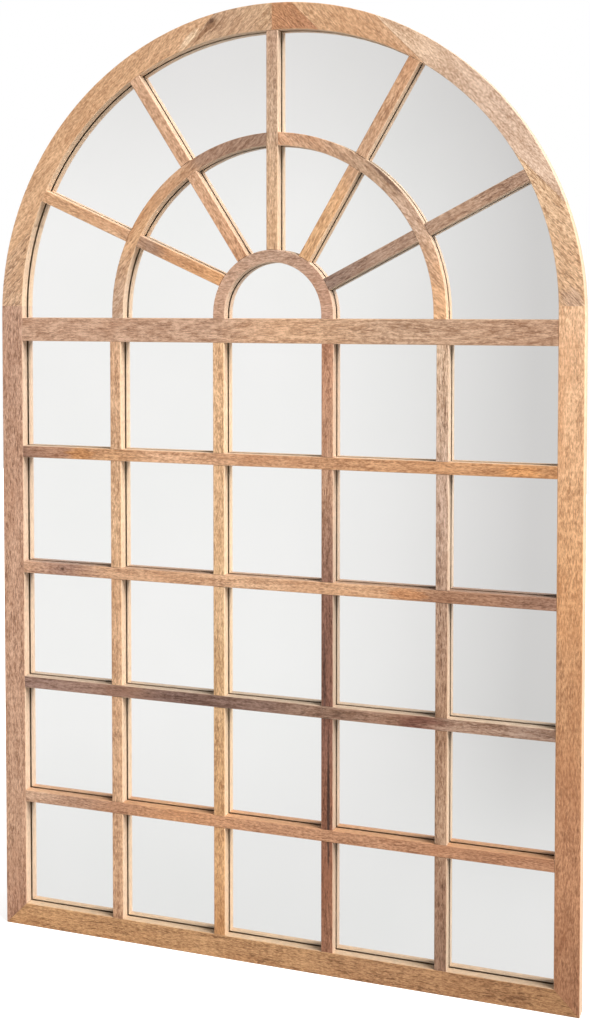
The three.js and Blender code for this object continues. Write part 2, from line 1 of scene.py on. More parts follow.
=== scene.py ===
import math
import bpy
import bmesh
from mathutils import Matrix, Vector


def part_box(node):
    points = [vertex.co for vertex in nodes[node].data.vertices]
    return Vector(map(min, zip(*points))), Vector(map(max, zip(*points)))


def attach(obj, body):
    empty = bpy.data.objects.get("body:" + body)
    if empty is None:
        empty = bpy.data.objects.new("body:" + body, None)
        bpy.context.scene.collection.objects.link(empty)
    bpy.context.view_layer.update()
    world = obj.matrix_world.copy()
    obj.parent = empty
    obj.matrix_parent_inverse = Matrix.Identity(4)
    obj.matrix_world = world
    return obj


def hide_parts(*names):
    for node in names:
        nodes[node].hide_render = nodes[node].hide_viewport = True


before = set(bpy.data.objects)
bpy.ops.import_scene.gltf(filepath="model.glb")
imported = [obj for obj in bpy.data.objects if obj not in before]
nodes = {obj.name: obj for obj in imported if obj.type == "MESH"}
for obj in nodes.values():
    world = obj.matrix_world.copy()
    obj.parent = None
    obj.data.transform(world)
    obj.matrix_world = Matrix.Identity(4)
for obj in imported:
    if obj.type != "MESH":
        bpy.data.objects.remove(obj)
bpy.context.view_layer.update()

print("frame loaded:", len(nodes), "nodes")

# The photograph's view, in metres in the mirror's own frame
view = {
    "place": (0.9635, -2.511, 1.2482),
    "turn": 0.3525,          # to the left, radians
    "tilt": -0.0414,         # radians, downwards
    "focalPixels": 1446.07,
    "imageHeight": 1020,
    "axisRow": 363.7,        # image row that the lens axis meets
}

# One soft sun from the upper right in front, an even sky, and the room that the glass mirrors
light = {
    "sunFrom": (0.70, -0.245, 0.62),
    "sunStrength": 4.6,
    "sunAngle": 32,              # degrees
    "skyStrength": 0.46,
    "roomLeft": (245, 244, 243),    # mirrored room, on the left and on the right
    "roomRight": (211, 209, 208),
    "roomLow": (0.89, 0.89, 0.89, 1),    # and how much duller it is low down and high up
    "roomHigh": (0.86, 0.85, 0.85, 1),
    "darkFrom": -0.37,           # X of the mirrored direction where the right begins, and where it ends
    "darkTo": -0.187,
    "darkCurve": 1.8,
    "darkFoot": (-0.40, -0.27),  # Z of that direction between which each part of the room sets in
    "lowEdge": (-0.24, -0.42),
    "highEdge": (0.03, 0.20),
    "floorSize": 14,
    "floorColour": (225, 224, 222),
    "floorGlow": 0.62,           # the floor's own white towards the camera
}


def linear(rgb):
    shares = [c / 255 for c in rgb]
    return tuple(s / 12.92 if s <= 0.04045 else ((s + 0.055) / 1.055) ** 2.4 for s in shares) + (1.0,)


# Short helpers for node trees
def feed(tree, socket, value):
    if isinstance(value, bpy.types.NodeSocket):
        tree.links.new(value, socket)
    else:
        socket.default_value = value


def addNode(tree, kind, inputs=None, **settings):
    node = tree.nodes.new(kind)
    for key, value in settings.items():
        setattr(node, key, value)
    for key, value in (inputs or {}).items():
        feed(tree, node.inputs[key], value)
    return node


def calc(tree, operation, *values):
    node = addNode(tree, "ShaderNodeMath", operation=operation)
    for socket, value in zip(node.inputs, values):
        feed(tree, socket, value)
    return node.outputs[0]


def calcVector(tree, operation, *values):
    node = addNode(tree, "ShaderNodeVectorMath", operation=operation)
    for socket, value in zip(node.inputs, values):
        feed(tree, socket, value)
    return node.outputs["Value" if operation in ("LENGTH", "DISTANCE") else "Vector"]


def times(tree, value, *others):
    for other in others:
        value = calc(tree, "MULTIPLY", value, other)
    return value


def scaled(tree, value, gain, start):
    return calc(tree, "MULTIPLY_ADD", value, gain, start)


# A noise swings about its own middle, which is 0.5
def swing(tree, value, gain, level):
    return scaled(tree, calc(tree, "SUBTRACT", value, 0.5), gain, level)


def split(tree, vector):
    return addNode(tree, "ShaderNodeSeparateXYZ", {"Vector": vector}).outputs


def combine(tree, x, y, z):
    return addNode(tree, "ShaderNodeCombineXYZ", {"X": x, "Y": y, "Z": z}).outputs[0]


def noise(tree, place, perMetre, detail=2.0, rough=0.5):
    if not isinstance(perMetre, tuple):
        perMetre = (perMetre, perMetre, perMetre)
    inputs = {"Vector": calcVector(tree, "MULTIPLY", place, perMetre), "Scale": 1.0}
    inputs.update({"Detail": detail, "Roughness": rough})
    return addNode(tree, "ShaderNodeTexNoise", inputs).outputs[0]


def rise(tree, value, low, high, fromValue=0.0, toValue=1.0):
    inputs = {"Value": value, "From Min": low, "From Max": high, "To Min": fromValue, "To Max": toValue}
    return addNode(tree, "ShaderNodeMapRange", inputs, interpolation_type="SMOOTHSTEP").outputs[0]


def mixColour(tree, share, first, second, kind="MIX"):
    node = addNode(tree, "ShaderNodeMix", data_type="RGBA", blend_type=kind)
    for index, value in ((0, share), (6, first), (7, second)):
        feed(tree, node.inputs[index], value)
    return node.outputs[2]


def tinted(tree, colour, factors):
    return mixColour(tree, 1.0, colour, (*factors, 1), "MULTIPLY")


def mixValue(tree, share, first, second):
    node = addNode(tree, "ShaderNodeMix")
    for index, value in ((0, share), (2, first), (3, second)):
        feed(tree, node.inputs[index], value)
    return node.outputs[0]


def newGroup(name, inputs, outputs, kind="ShaderNodeTree"):
    group = bpy.data.node_groups.new(name, kind)
    for side, sockets in (("INPUT", inputs), ("OUTPUT", outputs)):
        for label, socketKind in sockets.items():
            group.interface.new_socket(name=label, in_out=side, socket_type="NodeSocket" + socketKind)
    return group, group.nodes.new("NodeGroupInput").outputs, group.nodes.new("NodeGroupOutput").inputs


def useGroup(tree, group, inputs):
    node = tree.nodes.new("ShaderNodeGroup")
    node.node_tree = group
    for key, value in inputs.items():
        feed(tree, node.inputs[key], value)
    return node.outputs


def newMaterial(name, roughness=0.5, metallic=0.0, specular=0.5):
    material = bpy.data.materials.new(name)
    material.use_nodes = True
    tree = material.node_tree
    shader = tree.nodes["Principled BSDF"].inputs
    shader["Roughness"].default_value = roughness
    shader["Metallic"].default_value = metallic
    shader["Specular IOR Level"].default_value = specular
    return material, tree, shader, addNode(tree, "ShaderNodeTexCoord").outputs["Object"]


def addBump(tree, shader, height, strength, distance):
    inputs = {"Height": height, "Strength": strength, "Distance": distance}
    feed(tree, shader["Normal"], addNode(tree, "ShaderNodeBump", inputs).outputs[0])


def addPiece(name, data):
    piece = bpy.data.objects.new(name, data)
    bpy.context.scene.collection.objects.link(piece)
    return piece


# Camera, room, light and floor
def makeCamera():
    data = bpy.data.cameras.new("camera")
    data.sensor_fit = "VERTICAL"
    data.sensor_height = 36
    data.lens = view["focalPixels"] / view["imageHeight"] * data.sensor_height
    data.shift_y = (view["axisRow"] - view["imageHeight"] / 2) / view["imageHeight"]
    camera = addPiece("camera", data)
    camera.location = view["place"]
    camera.rotation_euler = (math.pi / 2 + view["tilt"], 0, view["turn"])
    bpy.context.scene.camera = camera


def mirroredRay(tree):
    path = addNode(tree, "ShaderNodeLightPath").outputs
    return calc(tree, "MAXIMUM", path["Is Glossy Ray"], path["Is Transmission Ray"])


def makeRoom():
    world = bpy.data.worlds.new("studio")
    bpy.context.scene.world = world
    world.use_nodes = True
    tree = world.node_tree
    tree.nodes.clear()
    way = split(tree, addNode(tree, "ShaderNodeTexCoord").outputs["Generated"])
    inputs = {"Value": way["X"], "From Min": light["darkFrom"], "From Max": light["darkTo"]}
    toRight = calc(tree, "POWER", addNode(tree, "ShaderNodeMapRange", inputs).outputs[0], light["darkCurve"])
    share = times(tree, toRight, rise(tree, way["Z"], *light["darkFoot"]))
    colour = mixColour(tree, share, linear(light["roomLeft"]), linear(light["roomRight"]))
    for edge, part in (("lowEdge", "roomLow"), ("highEdge", "roomHigh")):
        colour = mixColour(tree, rise(tree, way["Z"], *light[edge]), colour, light[part], "MULTIPLY")
    white = (1, 1, 1, 1)
    sky = addNode(tree, "ShaderNodeBackground", {"Color": white, "Strength": light["skyStrength"]})
    room = addNode(tree, "ShaderNodeBackground", {"Color": colour, "Strength": 1.0})
    behind = addNode(tree, "ShaderNodeBackground", {"Color": white, "Strength": 1.0})
    lit = addNode(tree, "ShaderNodeMixShader", {0: mirroredRay(tree), 1: sky.outputs[0], 2: room.outputs[0]})
    seen = addNode(tree, "ShaderNodeLightPath").outputs["Is Camera Ray"]
    whole = addNode(tree, "ShaderNodeMixShader", {0: seen, 1: lit.outputs[0], 2: behind.outputs[0]})
    addNode(tree, "ShaderNodeOutputWorld", {"Surface": whole.outputs[0]})


def makeSun():
    data = bpy.data.lights.new("sun", "SUN")
    data.energy = light["sunStrength"]
    data.angle = math.radians(light["sunAngle"])
    sun = addPiece("sun", data)
    sun.rotation_euler = Vector(light["sunFrom"]).to_track_quat("Z", "Y").to_euler()


def makeFloor():
    half = light["floorSize"] / 2
    corners = [(-half, -half, 0), (half, -half, 0), (half, half, 0), (-half, half, 0)]
    mesh = bpy.data.meshes.new("floor")
    mesh.from_pydata(corners, [], [(0, 1, 2, 3)])
    floor = addPiece("floor", mesh)
    material = bpy.data.materials.new("paleFloor")
    material.use_nodes = True
    tree = material.node_tree
    tree.nodes.clear()
    matt = addNode(tree, "ShaderNodeBsdfDiffuse", {"Color": linear(light["floorColour"])}).outputs[0]
    glow = addNode(tree, "ShaderNodeEmission", {"Color": (1, 1, 1, 1), "Strength": light["floorGlow"]})
    both = addNode(tree, "ShaderNodeAddShader", {0: matt, 1: glow.outputs[0]})
    clear = addNode(tree, "ShaderNodeBsdfTransparent")
    seen = addNode(tree, "ShaderNodeLightPath").outputs["Is Camera Ray"]
    plain = addNode(tree, "ShaderNodeMixShader", {0: seen, 1: matt, 2: both.outputs[0]})
    inputs = {0: mirroredRay(tree), 1: plain.outputs[0], 2: clear.outputs[0]}
    whole = addNode(tree, "ShaderNodeMixShader", inputs)
    addNode(tree, "ShaderNodeOutputMaterial", {"Surface": whole.outputs[0]})
    mesh.materials.append(material)


makeCamera()
makeRoom()
makeSun()
makeFloor()
print("camera, room, sun and floor made")


# Grain of mango wood. Place runs along the grain in X and across the board in Z, in metres.
def makeGrainGroup():
    figure = ("Streaks", "Fibres", "Pores", "Rings", "Ring spacing", "Heart", "Taper", "Curl", "Blotches")
    inputs = {"Place": "Vector", "Tone": "Color", "Seed": "Float", **dict.fromkeys(figure, "Float")}
    outputs = {"Color": "Color", "Roughness": "Float", "Height": "Float"}
    group, given, result = newGroup("mangoGrain", inputs, outputs)
    seed, tone = given["Seed"], given["Tone"]
    away = combine(group, times(group, seed, 0.73), times(group, seed, 0.41), seed)
    place = calcVector(group, "ADD", given["Place"], away)
    drift = scaled(group, noise(group, place, (3.4, 9, 12)), 0.024, -0.012)
    parts = split(group, place)
    along = combine(group, parts["X"], parts["Y"], calc(group, "ADD", parts["Z"], drift))
    broad = noise(group, along, (9, 60, 150), 4, 0.66)
    fine = noise(group, along, (125, 260, 430), 3, 0.7)
    dashes = noise(group, along, (92, 300, 520), 2, 0.6)
    curl = noise(group, place, (115, 25, 26), 2, 0.5)
    cloud = noise(group, place, (5, 14, 17), 3, 0.55)

    # growth rings, struck round a heart that comes nearer along the board
    own = split(group, given["Place"])
    heart = scaled(group, own["X"], given["Taper"], given["Heart"])
    depth = scaled(group, own["Y"], 0.6, heart)
    ownAcross = scaled(group, drift, 1.2, own["Z"])
    reach = calcVector(group, "LENGTH", combine(group, depth, ownAcross, 0.0))
    turns = scaled(group, cloud, 3.0, calc(group, "DIVIDE", reach, given["Ring spacing"]))
    ring = times(group, calc(group, "SINE", times(group, turns, 2 * math.pi)), 0.28)

    shade = swing(group, broad, times(group, given["Streaks"], 2.2), 0.5)
    shade = swing(group, fine, times(group, given["Fibres"], 4.6), shade)
    shade = scaled(group, ring, given["Rings"], shade)
    shade = swing(group, curl, times(group, given["Curl"], 1.4), shade)
    dark, pale = tinted(group, tone, (0.66, 0.57, 0.50)), tinted(group, tone, (1.34, 1.43, 1.50))
    colour = mixColour(group, shade, dark, pale)
    blotch = times(group, rise(group, cloud, 0.50, 0.68), given["Blotches"])
    colour = mixColour(group, blotch, colour, tinted(group, tone, (0.90, 0.74, 0.62)))
    pore = times(group, rise(group, dashes, 0.52, 0.63), given["Pores"])
    poreShown = times(group, pore, rise(group, broad, 0.62, 0.40, 0.35, 1.0))
    colour = mixColour(group, poreShown, colour, tinted(group, tone, (0.34, 0.27, 0.23)))
    feed(group, result["Color"], colour)
    feed(group, result["Roughness"], scaled(group, pore, 0.15, scaled(group, fine, 0.16, 0.50)))
    height = scaled(group, fine, 0.5, times(group, broad, 0.3))
    feed(group, result["Height"], scaled(group, pore, -0.6, height))
    return group


# Lines of the grain bend out round a knot, which darkens towards its middle
def makeKnotGroup():
    inputs = {"Place": "Vector", "Middle": "Vector", "Radius": "Float"}
    group, given, result = newGroup("knot", inputs, dict.fromkeys(("Bend", "Knot", "Halo"), "Float"))
    away = calcVector(group, "SUBTRACT", given["Place"], given["Middle"])
    away = calcVector(group, "MULTIPLY", away, (0.62, 0.04, 1))
    far = calc(group, "DIVIDE", calcVector(group, "LENGTH", away), given["Radius"])
    rim = calc(group, "ADD", far, scaled(group, noise(group, away, 260), 0.8, -0.4))
    pull = rise(group, far, 0.2, 4.2, 1.0, 0.0)
    feed(group, result["Bend"], times(group, split(group, away)["Z"], pull, -0.8))
    rings = scaled(group, calc(group, "SINE", times(group, rim, 14.0)), 0.14, 0.86)
    feed(group, result["Knot"], times(group, rise(group, rim, 1.15, 0.45), rings))
    feed(group, result["Halo"], rise(group, rim, 3.4, 0.9))
    return group


# A patch of another tone, drawn out along the grain
def makePatchGroup():
    inputs = {**dict.fromkeys(("Place", "Middle", "Size"), "Vector"), "Seed": "Float", "Strength": "Float"}
    group, given, result = newGroup("tonePatch", inputs, {"Mask": "Float"})
    away = calcVector(group, "SUBTRACT", given["Place"], given["Middle"])
    away = calcVector(group, "DIVIDE", away, given["Size"])
    frayed = calcVector(group, "ADD", given["Place"], combine(group, given["Seed"], 0.0, given["Seed"]))
    rag = scaled(group, noise(group, frayed, (16, 60, 150), 4, 0.65), 1.5, -0.75)
    edge = calc(group, "ADD", calcVector(group, "LENGTH", away), rag)
    feed(group, result["Mask"], times(group, rise(group, edge, 1.1, 0.55), given["Strength"]))
    return group


# Rubbed arrises at the front; sides and backs painted paler, partly their own bare wood and partly painted
# light;
# and a darker tone in the corner at the glass. Each sets in between two depths, or two distances in from an
# edge, in metres.
wearAndLightReach = {
    "front": (-0.0112, -0.0140), "rub": (0.0032, 0.0006), "side": (0.0010, 0.0003),
    "corner": (0.0012, 0.0024), "backFrom": (0.0023, 0.00245), "backTo": (0.0030, 0.0026),
}


def makeWearAndLightGroup():
    points = dict.fromkeys(("Place", "Spot", "Outer centre", "Inner centre"), "Vector")
    values = dict.fromkeys(("Half width", "Outer radius", "Inner radius", "Seed"), "Float")
    outputs = dict.fromkeys(("Rub", "Side", "Back", "Corner darkening"), "Float")
    group, given, result = newGroup("edgeWearAndPaintedLight", {**points, **values}, outputs)
    offLine = calc(group, "ABSOLUTE", split(group, given["Place"])["Z"])
    straight = calc(group, "SUBTRACT", given["Half width"], offLine)
    spot = calcVector(group, "MULTIPLY", given["Spot"], (1, 0, 1))
    fromOuter = calcVector(group, "DISTANCE", spot, given["Outer centre"])
    fromInner = calcVector(group, "DISTANCE", spot, given["Inner centre"])
    outer = calc(group, "SUBTRACT", given["Outer radius"], fromOuter)
    inner = calc(group, "SUBTRACT", fromInner, given["Inner radius"])
    isBent = calc(group, "GREATER_THAN", given["Outer radius"], 0.001)
    inset = mixValue(group, isBent, straight, calc(group, "MINIMUM", outer, inner))
    deep = split(group, given["Spot"])["Y"]
    shifted = calcVector(group, "ADD", given["Spot"], combine(group, given["Seed"], given["Seed"], 0.0))
    broken = noise(group, shifted, (48, 90, 48), 4, 0.65)
    rub = times(group, rise(group, inset, *wearAndLightReach["rub"]), rise(group, deep, *wearAndLightReach["front"]))
    feed(group, result["Rub"], times(group, rub, rise(group, broken, 0.40, 0.60)))
    # The bars' side faces painted paler: partly their own unwaxed wood, partly painted light for the sun on
    # them
    side = rise(group, inset, *wearAndLightReach["side"])
    feed(group, result["Side"], side)
    # The backs that lie on the glass painted pale: partly their own bare wood, partly painted light in the
    # shade under the glass
    back = times(group, rise(group, deep, *wearAndLightReach["backFrom"]), rise(group, deep, *wearAndLightReach["backTo"]))
    feed(group, result["Back"], back)
    # A darker tone in the corner where the sides meet the glass, broken up by noise
    corner = times(group, rise(group, deep, *wearAndLightReach["corner"]), side)
    feed(group, result["Corner darkening"], times(group, corner, rise(group, broken, 0.25, 0.6, 0.4, 1.0)))
    return group


grainGroup = makeGrainGroup()
knotGroup = makeKnotGroup()
patchGroup = makePatchGroup()
wearAndLightGroup = makeWearAndLightGroup()

# What every board has unless it says otherwise. Lengths are in millimetres.
usualBoard = {
    "streaks": 0.55, "fibres": 0.7, "pores": 0.6, "rings": 0.25, "ringSpacing": 7, "heart": 60, "taper": 0.05,
    "curl": 0.2, "blotches": 0.25, "halfWidth": 11.5, "bend": None, "patches": [], "knots": [],
    "sideTone": (229, 208, 180), "sideWoodAndLightShare": 0.5,      # the sides' own unwaxed wood, and painted light for the sun on them
    "backWoodAndLightTone": (255, 214, 160), "backWoodAndLightShare": 0.95,    # the backs' own bare wood, and painted light in the shade where they lie on the glass
}

# Centre and radius of a bent board's outer edge, then of its inner edge
archBend = ((0, 1225), 575, (-16, 1237), 513.05)
archBendRight = ((0, 1225), 575, (16, 1237), 513.05)
ringBend = ((0, 1229), 119.25, (0, 1229), 95.75)
quarterLeftBend = ((5, 1228), 336, (5, 1228), 312)
quarterRightBend = ((-5, 1228), 336, (-5, 1228), 312)
archReach = 529         # from the centre of the arch to where the spokes meet it


def timber(middle, angle, **rest):
    return {**usualBoard, "middle": middle, "angle": angle, **rest}


# A spoke, by its angles round the centre of the arch where it leaves the ring and where it meets the arch
def spoke(atRing, atArch, **rest):
    ringAngle, archAngle = math.radians(atRing), math.radians(atArch)
    start = Vector((math.cos(ringAngle), math.sin(ringAngle))) * ringBend[1]
    end = Vector((math.cos(archAngle), math.sin(archAngle))) * archReach
    way, middle = end - start, (start + end) / 2
    return timber((middle.x, archBend[0][1] + middle.y), math.degrees(math.atan2(way.y, way.x)), **rest)


# Each board: the middle of its run, the angle of its grain, and its tones by distance along the grain. A
# patch has a middle, a size, a tone and a strength, and a knot a middle, a radius and a tone.
boards = {
    "left_stile": timber(
        (-552, 622), 90, halfWidth=23, streaks=0.5, pores=0.85, rings=0.3,
        tones=[(-620, (174, 130, 104)), (-430, (187, 146, 118)), (0, (192, 150, 123)),
               (620, (191, 150, 125))]),
    # The right stile's tones grow darker towards its foot
    "right_stile": timber(
        (552, 622), 90, halfWidth=23, streaks=0.45, pores=0.45, curl=0.4, blotches=0.35,
        tones=[(-620, (158, 110, 78)), (-330, (179, 127, 91)), (-60, (192, 141, 100)),
               (120, (214, 161, 115)), (620, (232, 186, 146))]),
    "bottom_rail": timber(
        (0, 22.5), 0, halfWidth=22.5, streaks=0.8, pores=0.8, curl=0.5,
        tones=[(-575, (184, 138, 94)), (0, (180, 136, 94)), (200, (171, 127, 88)), (575, (159, 115, 76))]),
    "transom": timber(
        (0, 1198), 0, halfWidth=23, streaks=0.5, pores=0.6, rings=0.6, ringSpacing=8, heart=40,
        taper=-0.12,
        tones=[(-529, (194, 154, 127)), (-150, (194, 155, 128)), (40, (210, 167, 132)),
               (250, (194, 157, 128)), (529, (189, 149, 120))]),
    "arch_left_crown": timber(
        (-100, 1770), 45, bend=archBend, pores=0.6, rings=0.5,
        tones=[(-200, (211, 166, 128)), (0, (198, 160, 128)), (140, (206, 167, 129))],
        knots=[((-120, 1775), 4.4, (84, 54, 38))],
        patches=[((-134, 1757), (32, 4.5), (150, 108, 76), 0.8),
                 ((-108, 1768), (26, 2.2), (140, 100, 72), 0.7)]),
    "arch_left_middle": timber(
        (-380, 1600), 45, bend=archBend, streaks=0.45, pores=0.35,
        tones=[(-300, (213, 170, 132)), (0, (210, 164, 124)), (300, (211, 167, 129))],
        patches=[((-166, 1744), (34, 8), (232, 200, 166), 0.85)]),
    "arch_left_foot": timber(
        (-545, 1320), 45, bend=archBend, streaks=0.6, pores=1.0,
        tones=[(-90, (209, 171, 139)), (90, (206, 164, 127))]),
    "arch_right_crown": timber(
        (60, 1770), -45, bend=archBendRight, streaks=0.5, pores=0.7,
        tones=[(-60, (194, 140, 100)), (60, (192, 138, 103))]),
    "arch_right_upper": timber(
        (190, 1740), -45, bend=archBendRight, streaks=0.5, pores=0.4,
        tones=[(-120, (216, 171, 131)), (120, (211, 166, 129))]),
    "arch_right_middle": timber(
        (400, 1590), -45, bend=archBendRight, streaks=0.4, pores=0.3, rings=0.45, ringSpacing=9,
        blotches=0.12,
        tones=[(-250, (222, 186, 154)), (0, (217, 184, 159)), (250, (222, 188, 161))]),
    "arch_right_foot": timber(
        (545, 1320), -45, bend=archBendRight, streaks=0.5, pores=0.8,
        tones=[(-90, (226, 186, 148)), (90, (220, 177, 138))],
        patches=[((552, 1256), (26, 20), (196, 160, 134), 0.7)]),
    "level_muntin_1": timber(
        (0, 955.9), 0, streaks=0.7, blotches=0.5,
        tones=[(-529, (150, 112, 91)), (-455, (178, 132, 104)), (-340, (199, 150, 109)),
               (-220, (214, 167, 131)), (0, (202, 154, 117)), (220, (202, 151, 110)),
               (529, (193, 138, 92))],
        patches=[((-402, 955.9), (34, 14), (205, 146, 92), 0.8),
                 ((468, 955.9), (36, 12), (219, 155, 98), 0.8)]),
    "level_muntin_2": timber(
        (0, 725.3), 0, streaks=0.8, sideTone=(160, 138, 122),
        tones=[(-529, (196, 152, 122)), (-440, (170, 131, 111)), (-330, (202, 157, 122)),
               (0, (212, 168, 132)), (200, (208, 162, 124)), (330, (166, 122, 93)), (529, (154, 114, 92))],
        knots=[((-443, 727), 3.2, (98, 68, 54))],
        patches=[((262, 725), (40, 12), (206, 142, 92), 0.6)]),
    "level_muntin_3": timber(
        (0, 494.7), 0, streaks=1.1, pores=0.8, blotches=0.5,
        tones=[(-529, (150, 118, 103)), (-300, (146, 112, 94)), (-200, (124, 95, 83)),
               (-30, (131, 101, 86)), (100, (150, 118, 98)), (235, (156, 120, 98)), (285, (128, 84, 68)),
               (360, (172, 139, 117)), (529, (156, 127, 109))]),
    "level_muntin_4": timber(
        (0, 264.1), 0, blotches=0.4, sideTone=(206, 160, 120),
        tones=[(-529, (194, 156, 128)), (-430, (178, 138, 112)), (-330, (176, 129, 98)),
               (-200, (197, 144, 104)), (0, (187, 138, 104)), (529, (176, 126, 93))]),
    "upright_muntin_1": timber(
        (-324.3, 610), 90, curl=0.7,
        tones=[(-565, (184, 141, 108)), (-380, (199, 156, 121)), (0, (206, 164, 128)),
               (150, (214, 172, 134)), (565, (211, 168, 133))]),
    "upright_muntin_2": timber(
        (-108.1, 610), 90, streaks=0.5, fibres=0.8,
        tones=[(-565, (180, 130, 84)), (-440, (203, 156, 110)), (-50, (201, 161, 119)),
               (60, (214, 174, 133)), (565, (224, 180, 138))],
        knots=[((-103, 333), 3, (160, 108, 66))]),
    "upright_muntin_3": timber(
        (108.1, 610), 90, streaks=1.2, pores=0.8, blotches=0.5,
        tones=[(-565, (149, 102, 76)), (-300, (141, 92, 68)), (-150, (127, 84, 67)), (60, (131, 90, 72)),
               (200, (155, 115, 94)), (290, (188, 145, 116)), (565, (188, 137, 107))],
        patches=[((111, 330), (150, 3.2), (62, 40, 32), 0.9), ((103, 560), (130, 2.6), (84, 56, 46), 0.8)]),
    "upright_muntin_4": timber(
        (324.3, 610), 90, streaks=0.7, pores=0.9,
        tones=[(-565, (141, 107, 85)), (-430, (152, 116, 92)), (-310, (178, 142, 114)),
               (-110, (168, 130, 102)), (120, (179, 144, 120)), (260, (196, 163, 141)),
               (565, (212, 178, 149))]),
    "ring_arc": timber(
        (0, 1300), 0, bend=ringBend, streaks=0.5, pores=0.6,
        tones=[(-120, (198, 157, 130)), (0, (191, 155, 131)), (120, (197, 155, 130))]),
    "quarter_arc_left": timber(
        (-230, 1460), 45, bend=quarterLeftBend, streaks=0.65, blotches=0.4,
        tones=[(-240, (195, 161, 135)), (-80, (209, 162, 121)), (60, (200, 156, 121)),
               (105, (168, 132, 109)), (240, (152, 120, 99))]),
    "quarter_arc_right": timber(
        (230, 1460), -45, bend=quarterRightBend, streaks=0.7, blotches=0.3,
        tones=[(-240, (214, 164, 128)), (-130, (200, 160, 129)), (-40, (184, 149, 121)),
               (60, (204, 169, 143)), (240, (226, 176, 133))],
        patches=[((214, 1478), (60, 4), (122, 92, 74), 0.8)]),
    "spoke_right_lower": spoke(
        29, 27.5, streaks=0.8, pores=0.8,
        tones=[(-205, (148, 120, 104)), (-60, (172, 139, 117)), (80, (186, 150, 124)),
               (205, (177, 142, 119))]),
    "spoke_right_upper": spoke(
        59.6, 59.4, blotches=0.4,
        tones=[(-205, (216, 168, 123)), (-90, (222, 174, 129)), (0, (202, 160, 127)),
               (205, (210, 163, 126))]),
    "spoke_centre": spoke(
        90, 90, streaks=0.5,
        tones=[(-205, (215, 174, 136)), (-80, (212, 173, 138)), (60, (201, 167, 139)),
               (205, (197, 160, 133))]),
    "spoke_left_upper": spoke(
        118.8, 121.9,
        tones=[(-205, (214, 163, 125)), (0, (209, 164, 130)), (205, (206, 162, 129))]),
    "spoke_left_lower": spoke(
        146.6, 153.9, blotches=0.4,
        tones=[(-205, (214, 158, 110)), (-90, (206, 155, 114)), (-38, (180, 145, 121)),
               (20, (212, 167, 130)), (205, (214, 167, 127))]),
}


def toneAlong(tree, along, tones):
    first, last = tones[0][0], tones[-1][0]
    inputs = {"Value": along, "From Min": first / 1000, "From Max": last / 1000}
    share = addNode(tree, "ShaderNodeMapRange", inputs).outputs[0]
    ramp = addNode(tree, "ShaderNodeValToRGB", {"Fac": share})
    ramp.color_ramp.interpolation = "EASE"
    stops = ramp.color_ramp.elements
    while len(stops) < len(tones):
        stops.new(0.5)
    for stop, (place, tone) in zip(stops, tones):
        stop.position = (place - first) / (last - first)
        stop.color = linear(tone)
    return ramp.outputs[0]


